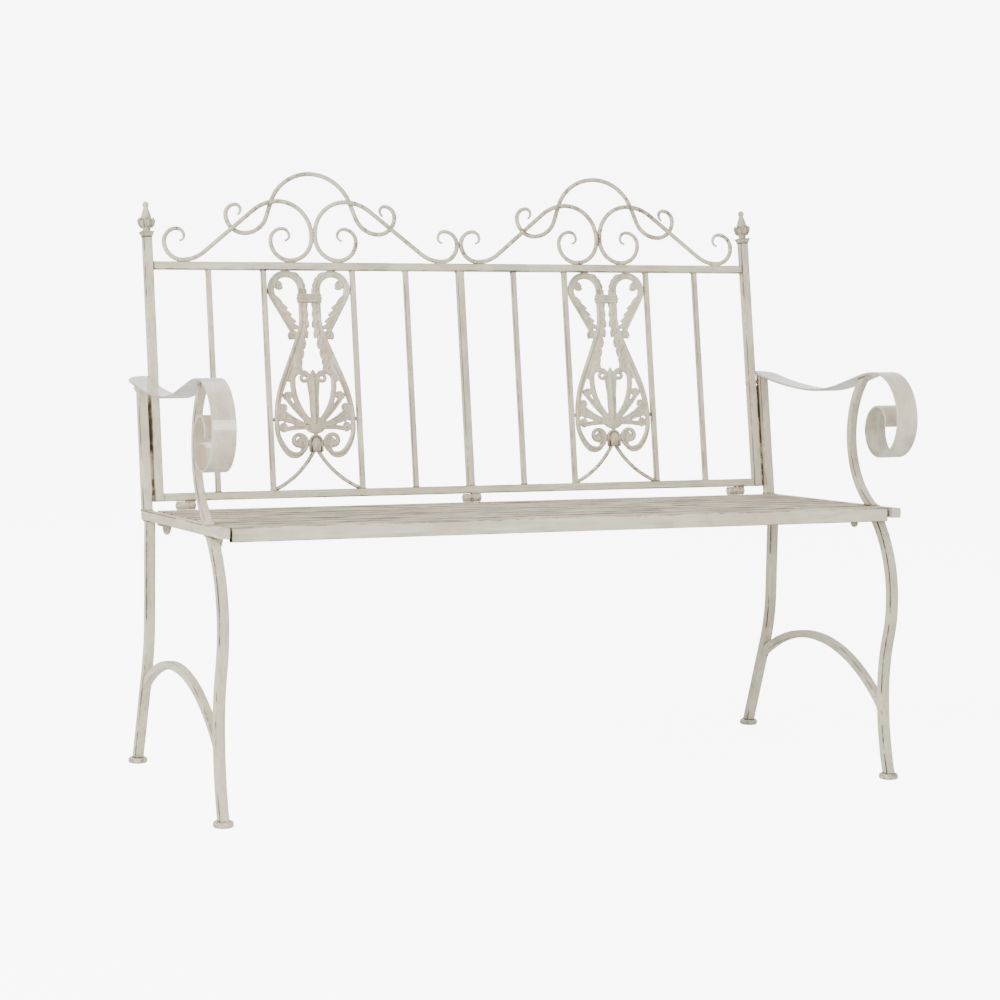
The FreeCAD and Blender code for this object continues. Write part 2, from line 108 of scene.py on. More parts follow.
class Paint:
    def __init__(self, name):
        self.material = bpy.data.materials.new(name)
        self.material.use_nodes = True
        self.tree = self.material.node_tree
        self.surface = self.tree.nodes["Principled BSDF"]

    def add(self, kind, settings=None, values=None, output=0):
        node = self.tree.nodes.new("ShaderNode" + kind)
        for key, value in (settings or {}).items():
            setattr(node, key, value)
        for key, value in (values or {}).items():
            self.feed(node.inputs[key], value)
        return Wire(self, node.outputs[output])

    def feed(self, socket, value):
        if isinstance(value, Wire):
            self.tree.links.new(value.socket, socket)
        else:
            socket.default_value = value

    def set(self, name, value):
        self.feed(self.surface.inputs[name], value)

    def place(self, scale):
        # object coordinates, stretched for a pattern
        where = self.add("TexCoord", output="Object")
        return self.add("Mapping", {}, {"Vector": where, "Scale": scale})

    def noise(self, where, scale, detail, rough, warp=0.0):
        return self.add("TexNoise", {}, {"Vector": where, "Scale": scale, "Detail": detail,
                                         "Roughness": rough, "Distortion": warp})

    def ramp(self, factor, low, high):
        # 0 below low, 1 above high
        return self.add("MapRange", {}, {"Value": factor, "From Min": low, "From Max": high})

    def layer(self, name, factor):
        # how much of a layer of the finish shows
        return self.ramp(factor, *layers[name])

    def blend(self, factor, first, second):
        # sockets 6 and 7 are a colour mix's two colours, output 2 its result
        return self.add("Mix", {"data_type": "RGBA"}, {"Factor": factor, 6: first, 7: second}, output=2)


def rgb(red, green, blue):
    # a display colour, 0 to 255, as the linear one that the shader takes
    def linear(value):
        value /= 255
        return value / 12.92 if value <= 0.04045 else ((value + 0.055) / 1.055) ** 2.4

    return (linear(red), linear(green), linear(blue), 1.0)


# the finish: brushed antique cream paint, rubbed through along the arrises, with painted shade in gaps,
# hollows, slat edge faces and cut ends

# brown and bare also serve as painted shade in hollows, gaps, slat edge faces and cut ends
cream = {
    "base": rgb(213, 206, 178),
    "pale": rgb(235, 232, 213),
    "pink": rgb(198, 176, 156),
    "grey": rgb(174, 175, 147),
    "brown": rgb(112, 91, 70),
    "bare": rgb(52, 43, 36),
}
layers = {                 # where each one starts to show on its pattern, and where it shows in full
    "pink": (0.42, 0.6),
    "grey": (0.46, 0.64),
    "pale": (0.5, 0.72),
    "streak": (0.5, 0.66),
    "grime": (0.42, 0.58),
    "arris": (0.2, 0.6),
    "ridge": (0.515, 0.57),
    "scrape": (0.5, 0.6),
    "slatEdgeWearAndShade": (0.15, 0.5),
    "slatRub": (0.42, 0.52),
    "bare": (0.44, 0.54),
    "hollowShade": (0.88, 0.4),
    "gap": (0.52, 0.16),
    "bareShadedCutEnd": (0.8, 0.95),
}
reach = {"hollowShade": 5.0, "gap": 9.0}     # how near something darkens the paint as painted shade, in millimetres
relief = {"strength": 0.35, "depth": 0.25}
lean = {"seat": 2.7, "back": 10.46}     # degrees that each part leans to the rear


def facing(paint, axis):
    # 1 on faces square to an axis of the bench, 0 on those along it
    normal = paint.add("TexCoord", output="Normal")
    return abs(paint.add("SeparateXYZ", {}, {"Vector": normal}, output=axis))


def arrisMask(paint, turn):
    # 0 on the flats of a square tube, 1 half way round its rounded arrises
    normal = paint.add("TexCoord", output="Normal")
    leaning = {"Vector": normal, "Angle": math.radians(turn)}
    own = paint.add("VectorRotate", {"rotation_type": "X_AXIS"}, leaning)
    x, y, z = [abs(paint.add("SeparateXYZ", {}, {"Vector": own}, output=axis)) for axis in "XYZ"]
    if turn == 0.0:
        # a bent tube keeps only its X faces square
        return x * (1 - x * x) ** 0.5 * 2
    return x.math("MAXIMUM", x.math("MAXIMUM", x * y, x * z), y * z) * 2


def ridgeMask(paint):
    # 1 on the raised edges of a casting
    return paint.layer("ridge", paint.add("NewGeometry", output="Pointiness"))


def openness(paint, distance, alone):
    # 1 in the open, less with something within that distance: the piece itself alone, or any other too
    settings = {"samples": 6, "only_local": alone}
    return paint.add("AmbientOcclusion", settings, {"Distance": distance * mm}, output="AO")


def brushMarks(paint, streak):
    # the patterns that colour, gloss and relief share: two along the brush, three even all round
    brushed = paint.place(streak)
    plain = paint.place((1, 1, 1))
    return {
        "long": paint.noise(brushed, 14, 5, 0.62, 0.3),
        "broad": paint.noise(brushed, 4.5, 3, 0.55),
        "cloud": paint.noise(plain, 7, 4, 0.6, 0.4),
        "drift": paint.noise(plain, 17, 3, 0.6),
        "speck": paint.noise(plain, 420, 3, 0.7),
    }


def wearAndShadeMask(paint, marks, shape, turn, wear):
    # where the paint is rubbed through: thin slats along their whole edges, where this also paints shade on
    # their edge faces; all else in patches
    if shape == "slat":
        rub = paint.layer("slatRub", marks["long"] * 0.6 + marks["broad"] * 0.4)
        return paint.layer("slatEdgeWearAndShade", facing(paint, "Y")) * rub
    patchy = marks["cloud"] * 0.35 + marks["drift"] * 0.45 + marks["speck"] * 0.12 + marks["broad"] * 0.2
    rub = paint.ramp(patchy, 0.62 - wear * 0.14, 0.67 - wear * 0.12)
    if shape == "square":
        return paint.layer("arris", arrisMask(paint, turn)) * rub
    if shape == "cast":
        return ridgeMask(paint) * rub
    return paint.layer("scrape", marks["long"] * 0.5 + marks["speck"] * 0.5) * 0.7 * rub


def antiquePaint(name, streak=(18, 18, 1.4), streaks=0.3, wear=0.7, gloss=0.42, patches=0.5, turn=0.0,
                 shape="square", coat=0.0, grime=0.0, dim=0.0, gaps=0.9, bareShadedEnds=False):
    paint = Paint(name)
    marks = brushMarks(paint, streak)
    dirt = marks["drift"] * 0.6 + marks["speck"] * 0.4

    color = paint.blend(paint.layer("pink", marks["cloud"]) * patches, cream["base"], cream["pink"])
    color = paint.blend(paint.layer("grey", marks["drift"]) * patches, color, cream["grey"])
    color = paint.blend(paint.layer("pale", marks["broad"]) * 0.5, color, cream["pale"])
    thin = paint.layer("streak", marks["long"]) * streaks
    color = paint.blend(thin, color, cream["brown"])
    if dim:
        color = paint.blend(dim, color, cream["brown"])
    if grime:
        color = paint.blend(paint.layer("grime", dirt) * grime, color, cream["brown"])

    # worn paint; on slats it also paints shade on the edge faces
    wearAndShade = wearAndShadeMask(paint, marks, shape, turn, wear)
    color = paint.blend(wearAndShade * 0.9, color, cream["brown"])
    color = paint.blend(wearAndShade * paint.layer("bare", dirt), color, cream["bare"])
    if shape == "cast":
        # painted shade: the casting's hollows darkened towards brown
        paintedShade = paint.layer("hollowShade", openness(paint, reach["hollowShade"], True))
        color = paint.blend(paintedShade * 0.9, color, cream["brown"])
    elif shape != "slat":
        # painted shade: darker in gaps and where pieces meet
        paintedShade = paint.layer("gap", openness(paint, reach["gap"], False))
        color = paint.blend(paintedShade * gaps, color, cream["bare"])
    if bareShadedEnds:
        # the cut ends painted dark as bare metal, which also paints the shade in the gaps beside them
        color = paint.blend(paint.layer("bareShadedCutEnd", facing(paint, "X")) * 0.9, color, cream["bare"])

    paint.set("Base Color", color)
    paint.set("Roughness", gloss + 0.25 * wearAndShade + 0.15 * thin + 0.1 * marks["speck"])
    paint.set("Specular IOR Level", 0.45)
    if coat:
        paint.set("Coat Weight", coat)
        paint.set("Coat Roughness", 0.07)
    height = marks["long"] * 0.5 + marks["speck"] * 0.25 + marks["broad"] * 0.6 - wearAndShade * 0.7
    bump = {"Strength": relief["strength"], "Distance": relief["depth"] * mm, "Height": height}
    paint.set("Normal", paint.add("Bump", {}, bump))
    return paint.material


# streak: how often the brush marks change along X, Y and Z, so the lowest number is the way of the brush

upright = (18, 18, 1.4)
crosswise = (1.4, 18, 18)
frontToRear = (18, 1.4, 18)

sideUpright = antiquePaint("sideUprightPaint", streak=upright)
sideLong = antiquePaint("sideLongPaint", streak=frontToRear)
backUpright = antiquePaint("backUprightPaint", streak=upright, turn=lean["back"], gaps=0.25)
backLong = antiquePaint("backLongPaint", streak=crosswise, turn=lean["back"])
seatLong = antiquePaint("seatLongPaint", streak=crosswise, turn=lean["seat"], streaks=0.2, bareShadedEnds=True)
seatDeep = antiquePaint("seatDeepPaint", streak=frontToRear, turn=lean["seat"])
slatPaint = antiquePaint("slatPaint", streak=(0.9, 14, 26), streaks=2.2, gloss=0.58, patches=1.0,
                         shape="slat")
armPaint = antiquePaint("armrestPaint", streak=(14, 1.4, 5), streaks=0.1, wear=0.35, gloss=0.3,
                        patches=0.9, coat=1.0, dim=0.03)
castPaint = antiquePaint("castingPaint", streak=(10, 10, 4), streaks=0.35, wear=0.8, gloss=0.48,
                         patches=0.7, shape="cast", dim=0.04)
rodPaint = antiquePaint("rodPaint", streak=(8, 8, 8), wear=0.6, shape="round")
weldPaint = antiquePaint("weldPaint", streak=(20, 20, 20), streaks=0.6, gloss=0.55, shape="round",
                         grime=1.5)
hardwarePaint = antiquePaint("hardwarePaint", streak=(10, 10, 10), gloss=0.4, grime=0.35,
                             shape="round")
print("paints ready")


# the frame's own pieces, with rounded arrises

def activate(piece):
    bpy.ops.object.select_all(action="DESELECT")
    piece.select_set(True)
    bpy.context.view_layer.objects.active = piece


def applyModifiers(piece):
    activate(piece)
    for modifier in list(piece.modifiers):
        bpy.ops.object.modifier_apply(modifier=modifier.name)


def bodyOf(node):
    for body, members in frame["record"]["behaviour"]["bodies"].items():
        if node in members:
            return body


def slotOf(node):
    for part in frame["record"]["subparts"]:
        if part["node"] == node:
            return part["material_slot"]


def roundedCopy(node, edge, material, coat=0.0):
    # a node's own shape with its arrises rounded by edge and as much thicker as its coat of paint
    piece = bpy.data.objects.new(node + "_rounded", frame["nodes"][node].data.copy())
    bpy.context.scene.collection.objects.link(piece)
    activate(piece)
    bpy.ops.mesh.customdata_custom_splitnormals_clear()
    bpy.ops.object.mode_set(mode="EDIT")
    bpy.ops.mesh.select_all(action="SELECT")
    bpy.ops.mesh.remove_doubles(threshold=0.01 * mm)
    bpy.ops.mesh.dissolve_limited(angle_limit=math.radians(0.8))
    if coat:
        bpy.ops.mesh.select_all(action="SELECT")
        bpy.ops.transform.shrink_fatten(value=coat * mm, use_even_offset=True)
    bpy.ops.object.mode_set(mode="OBJECT")
    if edge:
        bevel = piece.modifiers.new("arris", "BEVEL")
        bevel.width = edge * mm
        bevel.segments = 3
        bevel.limit_method = "ANGLE"
        bevel.angle_limit = math.radians(35)
        bevel.use_clamp_overlap = False
        applyModifiers(piece)
    bpy.ops.object.shade_smooth_by_angle(angle=math.radians(38))
    piece.modifiers.new("flats", "WEIGHTED_NORMAL").keep_sharp = True
    applyModifiers(piece)
    piece.data.materials.clear()
    piece.data.materials.append(material)
    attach(piece, bodyOf(node))
    slotOf(node)
    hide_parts(node)


sidePieces = {             # rounding in millimetres, finish, and the coat's thickness on thin pieces
    "side_rail": (1.5, seatDeep),
    "front_leg": (1.9, sideUpright),
    "rear_leg": (1.9, sideUpright),
    "rear_post": (1.5, backUpright),
    "arm_support": (1.2, sideUpright),
    "leg_arch": (1.2, sideLong),
    "armrest": (1.0, armPaint),
    "stile": (1.4, backUpright),
    "bars": (0.9, backUpright, 0.35),
    "seat_end": (1.4, seatDeep),
    "front_foot": (0, rodPaint),
    "rear_foot": (0, rodPaint),
}
middlePieces = {
    "front_apron": (1.3, seatLong),
    "rear_seat_rail": (1.3, seatLong),
    "bottom_rail": (1.3, backLong),
    "top_rail": (1.3, backLong),
    "centre_bar": (1.1, backUpright, 0.3),
    "ornament_stays": (0, rodPaint, 0.4),
}
slats = {"count": 9, "edge": 0.7}

for side in ("left", "right"):
    for name, look in sidePieces.items():
        roundedCopy(f"{side}_{name}", *look)
for name, look in middlePieces.items():
    roundedCopy(name, *look)
for number in range(slats["count"]):
    roundedCopy(f"seat_slat_{number + 1}", slats["edge"], slatPaint)
print("frame pieces ready")


# drawing in the back's plane: X along the bench, Z up the back, in millimetres

back = {"thick": 15.0, "height": 437.4}


def backPlace():
    # from the foot of the stiles' front face, up the leaning plane
    angle = math.radians(lean["back"])
    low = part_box("right_stile")[0]
    foot = Vector((0, low.y, low.z + back["thick"] * mm * math.sin(angle)))
    return Matrix.Translation(foot) @ Matrix.Rotation(-angle, 4, "X") @ Matrix.Scale(mm, 4)


def emptyPiece(name):
    piece = bpy.data.objects.new(name, bpy.data.meshes.new(name))
    bpy.context.scene.collection.objects.link(piece)
    activate(piece)
    return piece


def drawn(name, add, middle=(0, 0, 0), stretch=None, cuts=0, **sizes):
    # one primitive, stretched about its middle and cut into even cells
    piece = emptyPiece(name)
    bpy.ops.object.mode_set(mode="EDIT")
    add(location=middle, **sizes)
    if stretch:
        bpy.ops.transform.resize(value=stretch, center_override=middle)
    if cuts:
        bpy.ops.mesh.subdivide(number_cuts=cuts)
    bpy.ops.object.mode_set(mode="OBJECT")
    return piece


def selectWhere(piece, chosen):
    # into edit mode with just those vertices selected
    activate(piece)
    bpy.ops.object.mode_set(mode="EDIT")
    bpy.ops.mesh.select_mode(type="VERT")
    bpy.ops.mesh.select_all(action="DESELECT")
    bpy.ops.object.mode_set(mode="OBJECT")
    for vertex in piece.data.vertices:
        vertex.select = chosen(vertex.co)
    bpy.ops.object.mode_set(mode="EDIT")


def shaped(piece, chosen, scale=(1, 1, 1), about=(0, 0, 0), move=(0, 0, 0)):
    selectWhere(piece, chosen)
    bpy.ops.transform.resize(value=scale, center_override=about)
    bpy.ops.transform.translate(value=move)
    bpy.ops.object.mode_set(mode="OBJECT")


def closeMesh():
    # caps the open ends, turns the faces outwards and leaves edit mode
    bpy.ops.mesh.select_all(action="SELECT")
    bpy.ops.mesh.fill_holes(sides=0)
    bpy.ops.mesh.select_all(action="SELECT")
    bpy.ops.mesh.normals_make_consistent(inside=False)
    bpy.ops.object.mode_set(mode="OBJECT")


def sweep(name, width, depth, start, heading, moves, offset=0.0, sides=12, flat=False):
    # a rod along a drawn track of runs (length,) or (length, 0, growth) and turns (radius, degrees, growth)
    # left turns are positive; offset moves it to the left of the track, flat keeps its depth as it grows
    piece = emptyPiece(name)
    angle = math.radians(heading)
    x = start[0] - offset * math.sin(angle)
    z = start[1] + offset * math.cos(angle)
    bpy.ops.object.mode_set(mode="EDIT")
    bpy.ops.mesh.primitive_circle_add(vertices=sides, radius=0.5, location=(x, 0, z),
                                      rotation=(0, math.pi / 2 - angle, 0))
    bpy.ops.transform.resize(value=(width, depth, width), center_override=(x, 0, z))
    for move in moves:
        growth = move[2] if len(move) > 2 else 1.0
        deeper = 1 if flat else growth
        if len(move) == 1 or move[1] == 0:
            x += move[0] * math.cos(angle)
            z += move[0] * math.sin(angle)
            run = (move[0] * math.cos(angle), 0, move[0] * math.sin(angle))
            bpy.ops.mesh.extrude_region_move(TRANSFORM_OT_translate={"value": run})
            bpy.ops.transform.resize(value=(growth, deeper, growth), center_override=(x, 0, z))
            continue
        side = math.copysign(1, move[1])
        radius = move[0] - side * offset
        turn = math.radians(move[1])
        centre = Vector((x - side * radius * math.sin(angle), 0, z + side * radius * math.cos(angle)))
        steps = max(2, math.ceil(abs(move[1]) / 12), math.ceil(abs(turn) * radius / 6))
        parts = steps if growth != 1.0 else 1
        share = growth ** (1 / parts)
        deeper = 1 if flat else share
        for _ in range(parts):
            bpy.ops.mesh.spin(steps=steps // parts, angle=turn / parts, center=centre, axis=(0, 1, 0))
            angle += turn / parts
            x = centre.x + side * radius * math.sin(angle)
            z = centre.z - side * radius * math.cos(angle)
            bpy.ops.transform.resize(value=(share, deeper, share), center_override=(x, 0, z))
    closeMesh()
    return piece


def arcTo(start, heading, end):
    # the one turn that leaves the start along a heading and reaches the end
    run = Vector(end) - Vector(start)
    turn = 2 * (math.atan2(run.y, run.x) - math.radians(heading))
    return (abs(run.length / 2 / math.sin(turn / 2)), math.degrees(turn))


def trackPoint(track, distance):
    # the place and heading at a distance along a drawn track
    (x, z), heading, moves = track
    angle = math.radians(heading)
    for move in moves:
        if len(move) == 1 or move[1] == 0:
            length = min(distance, move[0])
            x += length * math.cos(angle)
            z += length * math.sin(angle)
        else:
            side = math.copysign(1, move[1])
            length = min(distance, move[0] * math.radians(abs(move[1])))
            turn = side * length / move[0]
            x += side * move[0] * (math.sin(angle + turn) - math.sin(angle))
            z -= side * move[0] * (math.cos(angle + turn) - math.cos(angle))
            angle += turn
        distance -= length
        if distance <= 0:
            break
    return x, z, math.degrees(angle)


def joined(name, parts):
    bpy.ops.object.select_all(action="DESELECT")
    for part in parts:
        part.select_set(True)
    bpy.context.view_layer.objects.active = parts[0]
    bpy.ops.object.join()
    parts[0].name = name
    return parts[0]


def twinOf(piece, place):
    twin = bpy.data.objects.new(piece.name + "_copy", piece.data.copy())
    bpy.context.scene.collection.objects.link(twin)
    twin.data.transform(place)
    if place.determinant() < 0:
        twin.data.flip_normals()
    return twin


def copied(piece, place, turn=0.0, size=(1, 1, 1)):
    # a copy turned in the drawing's plane, left turns positive, then moved to its place
    moved = Matrix.Translation((place[0], 0, place[1]))
    turned = Matrix.Rotation(math.radians(turn), 4, (0, -1, 0))
    return twinOf(piece, moved @ turned @ Matrix.Diagonal((*size, 1)))


def removed(piece):
    mesh = piece.data
    bpy.data.objects.remove(piece)
    bpy.data.meshes.remove(mesh)


def castWhole(piece, voxel, keep):
    # melts joined parts into one closed casting
    cast = piece.modifiers.new("cast", "REMESH")
    cast.mode = "VOXEL"
    cast.voxel_size = voxel
    soften = piece.modifiers.new("soften", "SMOOTH")
    soften.factor = 0.5
    soften.iterations = 1
    piece.modifiers.new("thin", "DECIMATE").ratio = keep
    applyModifiers(piece)
    bpy.ops.object.shade_smooth()


def backPiece(source, name, place, node, paint):
    # a copy of a drawn piece at its place on the back, standing for a node of the frame
    piece = twinOf(source, backPlace() @ place)
    piece.name = name
    piece.data.materials.append(paint)
    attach(piece, "back")
    slotOf(node)
    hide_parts(node)


# cast ornament: a lyre of two leafy strands with a palmette in its bowl
# a track is its start, its heading in degrees and its moves; a lobe is its distance along the track,
# its tilt, its size and how far in it sits

lyre = {
    "foot": 71.4,          # its lowest point above the stiles' foot
    "behind": 7.5,         # its middle behind the stiles' front
    "body": 7.0,           # how thick the casting is
    "voxel": 0.7,
    "keep": 0.42,
    "strands": {           # width, how much thicker than the body, and how far to the track's left
        "loopBand": (12.0, -1.4, 0.0),
        "loopCord": (4.8, 1.4, -3.6),
        "neckLeaf": (11.6, -2.2, 0.0),
        "neckCord": (6.4, 1.4, 1.9),
        "bowlLine": (3.8, 0.0, -4.4),
        "bowlWeb": (7.6, -3.0, -1.2),
        "rib": (4.3, -0.4, 2.5),
        "ribRoll": (5.8, 0.0, 0.0),
        "stem": (3.9, -0.8, 2.1),
        "shieldArch": (4.4, 1.2, 0.0),
    },
    "loop": ((31.2, 210.4), 60, [(64.4,), (26.5, 210)]),
    "neck": ((14.6, 281.0), 270, [(46.6,), (90.0, 22.5), (81.1,)]),
    "bowl": ((51.5, 125.0), 292.5, [(180.0, -22.5), (69.7, -40), (19.8, -50), (17.0, -90),
                                    (11.5, -90, 1.1), (8.0, -90, 1.15), (6.0, -90, 1.15),
                                    (3.2, -90, 0.95)]),
    "leaf": ((9.6, 281.0), 270, [(46.6,), (95.0, 20.5, 1.15), (64.0, 0, 1.35), (18.0, 0, 0.45)]),
    "rib": ((2.0, 50.0), 39, [(92.0, 52, 1.2), (4.0,), (14.0, 100), (5.0,), (7.6, 170, 0.95),
                              (5.2, 170, 0.9), (3.2, 100, 0.8)]),
    "stems": (((3.0, 48.0), 40, (49.0, 98.0)), ((3.0, 47.0), 12, (58.0, 77.0)),
              ((3.0, 46.5), 14, (60.0, 62.5)), ((3.0, 46.0), 6, (55.0, 43.5))),
    "crest": ((47.3, 305.0), 165, [(26.5, 105), (6.0,)]),
    "shieldArch": ((-10.5, 5), 90, [(17.0,), (10.5, -180), (17.0,)]),
    "crestLobes": ((15.0, 12, 0.8, 1.8), (24.0, 12, 0.8, 1.8), (33.0, 12, 0.8, 1.8),
                   (42.0, 10, 0.8, 1.8)),
    "neckLobes": ((14.0, 34, 0.95, 1.0), (31.0, 34, 0.95, 1.0), (48.0, 34, 1.0, 1.5),
                  (64.0, 36, 1.05, 2.5), (80.0, 38, 1.1, 3.5), (96.0, 40, 1.15, 5.0),
                  (111.0, 42, 1.15, 7.0), (124.0, 50, 1.1, 10.0)),
    "loopLobes": ((14.0, 150, 1.05, 0.0), (27.5, 150, 1.1, 0.0), (41.0, 151, 1.1, 0.0),
                  (54.5, 152, 1.1, 0.0), (68.0, 153, 1.05, 0.0)),
    "volutes": (((53.0, 286.5), 215, (1.35, 1.1, 1.35)), ((32.6, 202.0), -50, (1.45, 1.15, 1.45))),
    "bowlVolute": (1.55, 1.15, 1.55),
    "stemVolute": (1.3, 1.1, 1.3),
    "stemRoll": 3.2,       # from a stem's end to the middle of its volute
}
lobeShape = {              # the shares are of the thickness and the width
    "length": 18.0,
    "thick": 7.6,
    "width": 8.6,
    "root": (0.6, 0.5),
    "shoulder": (0.86, 0.95),
    "tip": (0.5, 0.28),
    "tipMove": (2.2, 0.0, -1.6),
    "vein": 0.7,
}
curlShape = {
    "start": (5.0, -1.0),
    "rod": (3.4, 6.0),
    "turns": [(5.2, 150, 0.95), (3.9, 150, 0.9), (2.6, 170, 0.85)],
    "disc": (5.0, 3.4),    # radius and thickness
    "bead": 2.0,
}
bladeShape = {             # the palmette's middle leaf, in five levels from its root to its tip
    "middle": 95.0,
    "height": 84.0,
    "width": 23.0,
    "root": 0.5,           # shares of the width
    "waist": 0.7,
    "shoulderRise": 10.0,
    "tip": (0.08, 0.3),    # shares of the width and the thickness
    "tipRise": 7.0,
    "ridge": 1.45,         # shares of the thickness
    "rim": 0.72,
}
shieldShape = {"middle": 22.0, "radius": 7.2, "foot": 5.0}
bossShape = {"middle": 50.0, "width": 38.0, "height": 30.0}


def leafLobe():
    # one pointed lobe of the leafage, from its root at the origin along +X, in cells of a quarter
    length, thick, width = lobeShape["length"], lobeShape["thick"], lobeShape["width"]
    cell = length / 4
    piece = drawn("leafLobe", bpy.ops.mesh.primitive_cube_add, (length / 2, 0, 0), (length, thick, width),
                  3, size=1)
    shaped(piece, lambda co: co.x > 3.8 * cell, (1, *lobeShape["tip"]), (length, 0, 0),
           lobeShape["tipMove"])
    shaped(piece, lambda co: 2.7 * cell < co.x < 3.3 * cell, (1, *lobeShape["shoulder"]),
           (3 * cell, 0, 0.5))
    shaped(piece, lambda co: co.x < 0.2 * cell, (1, *lobeShape["root"]))
    # a vein pressed along each face
    shaped(piece, lambda co: abs(co.z) < 0.6 and 2 < co.x < 17 and abs(co.y) > 2,
           (1, lobeShape["vein"], 1))
    smooth = piece.modifiers.new("smooth", "SUBSURF")
    smooth.levels = smooth.render_levels = 1
    applyModifiers(piece)
    return piece


def curl():
    # a volute of radius 6.5 about the origin, entered from below: a spiral on a thin disc, with a bead
    spiral = sweep("curl", *curlShape["rod"], curlShape["start"], 90, curlShape["turns"], sides=10)
    radius, thick = curlShape["disc"]
    disc = drawn("curlDisc", bpy.ops.mesh.primitive_cylinder_add, vertices=20, radius=radius,
                 depth=thick, rotation=(math.pi / 2, 0, 0))
    bead = drawn("curlBead", bpy.ops.mesh.primitive_uv_sphere_add, stretch=(1, 1.5, 1), segments=12,
                 ring_count=8, radius=curlShape["bead"])
    return joined("curl", [spiral, disc, bead])


def leafage(lobe, track, lobes, side):
    # lobes along a track, on its left with side 1, on its right with -1
    grown = []
    for distance, tilt, size, inset in lobes:
        x, z, heading = trackPoint(track, distance)
        angle = math.radians(heading)
        place = (x - side * inset * math.sin(angle), z + side * inset * math.cos(angle))
        grown.append(copied(lobe, place, heading + side * tilt, (size, 1, side * size)))
    return grown


def strand(name, track, side=1, sides=10):
    width, thicker, offset = lyre["strands"][name]
    depth = lyre["body"] + thicker
    return sweep(name, width, depth, *track, offset=side * offset, sides=sides, flat=True)


def loopParts(lobe, volute):
    # a plain band with a cord on its outer edge and leaves inside its outer run
    parts = [strand("loopBand", lyre["loop"], sides=16), strand("loopCord", lyre["loop"])]
    parts += leafage(lobe, lyre["loop"], lyre["loopLobes"], 1)
    parts += leafage(lobe, lyre["crest"], lyre["crestLobes"], -1)
    parts += [copied(volute, *place) for place in lyre["volutes"]]
    return parts


def neckParts(lobe, volute):
    # a broad leaf down the neck, and one cord outside it and on round the bowl, rolled up at the foot
    start, heading, moves = lyre["neck"]
    cord = (start, heading, moves + lyre["bowl"][2])
    parts = [strand("neckLeaf", lyre["leaf"], sides=16), strand("neckCord", cord, sides=12)]
    parts += leafage(lobe, lyre["neck"], lyre["neckLobes"], -1)
    # a fine line inside the bowl, and the web between the two
    x, z, heading = trackPoint(lyre["neck"], 132.0)
    line = ((x, z), heading, [(39.0,)] + lyre["bowl"][2][:4])
    parts += [strand("bowlLine", line), strand("bowlWeb", line)]
    # past the bowl's whole length is its rolled end
    x, z, heading = trackPoint(lyre["bowl"], 1000)
    parts.append(copied(volute, (x, z), heading, lyre["bowlVolute"]))
    return parts


def palmetteParts(volute):
    # ribs and stems, each a pair of strands with a groove between them, rolled up at the end
    start, heading, moves = lyre["rib"]
    parts = [strand("ribRoll", lyre["rib"], sides=12)]
    parts += [strand("rib", (start, heading, moves[:3]), side) for side in (-1, 1)]
    for start, heading, end in lyre["stems"]:
        move = arcTo(start, heading, end)
        parts += [strand("stem", (start, heading, [(*move, 1.1)]), side) for side in (-1, 1)]
        last = heading + move[1]
        angle = math.radians(last)
        roll = lyre["stemRoll"]
        middle = (end[0] - roll * math.sin(angle), end[1] + roll * math.cos(angle))
        parts.append(copied(volute, middle, last - 90, lyre["stemVolute"]))
    return parts


def halfLyre():
    lobe = leafLobe()
    volute = curl()
    parts = loopParts(lobe, volute) + neckParts(lobe, volute) + palmetteParts(volute)
    removed(lobe)
    removed(volute)
    return joined("halfLyre", parts)


def middleBlade():
    low = bladeShape["middle"] - bladeShape["height"] / 2
    cell = bladeShape["height"] / 4
    middle = (0, 0, bladeShape["middle"])
    size = (bladeShape["width"], lyre["body"], bladeShape["height"])
    blade = drawn("middleLeaf", bpy.ops.mesh.primitive_cube_add, middle, size, 3, size=1)

    def level(number):
        return lambda co: abs(co.z - low - number * cell) < 0.4

    shaped(blade, level(4), (*bladeShape["tip"], 1), move=(0, 0, bladeShape["tipRise"]))
    shaped(blade, level(3), move=(0, 0, bladeShape["shoulderRise"]))
    for number in (1, 2):
        shaped(blade, level(number), (bladeShape["waist"], 1, 1))
    shaped(blade, level(0), (bladeShape["root"], 1, 1))
    # a ridge up the middle, thin rims
    shaped(blade, lambda co: abs(co.x) < 1, (1, bladeShape["ridge"], 1))
    shaped(blade, lambda co: abs(co.x) > 4, (1, bladeShape["rim"], 1))
    return blade


def lyreMiddle():
    # the palmette's middle leaf on a boss, and the small arched shield below it
    body = lyre["body"]
    size = (bossShape["width"] / 2, body / 2 - 0.5, bossShape["height"] / 2)
    boss = drawn("boss", bpy.ops.mesh.primitive_uv_sphere_add, (0, 0, bossShape["middle"]), size,
                 segments=24, ring_count=14, radius=1)
    shield = drawn("shield", bpy.ops.mesh.primitive_cylinder_add, (0, 0, shieldShape["middle"]),
                   vertices=24, radius=shieldShape["radius"], depth=body + 0.2,
                   rotation=(math.pi / 2, 0, 0))
    shaped(shield, lambda co: co.z < shieldShape["middle"] - 1, (1, 1, 0), (0, 0, shieldShape["foot"]))
    return joined("lyreMiddle", [middleBlade(), boss, strand("shieldArch", lyre["shieldArch"]), shield])


def makeLyre():
    half = halfLyre()
    mirror = twinOf(half, Matrix.Scale(-1, 4, (1, 0, 0)))
    whole = joined("lyre", [half, mirror, lyreMiddle()])
    castWhole(whole, lyre["voxel"], lyre["keep"])
    return whole


clasp = {
    "half": 21.5,
    "low": 257.0,
    "high": 272.5,
    "ridges": 3,
    "thick": 10.0,
    "voxel": 0.45,
    "keep": 0.5,
}


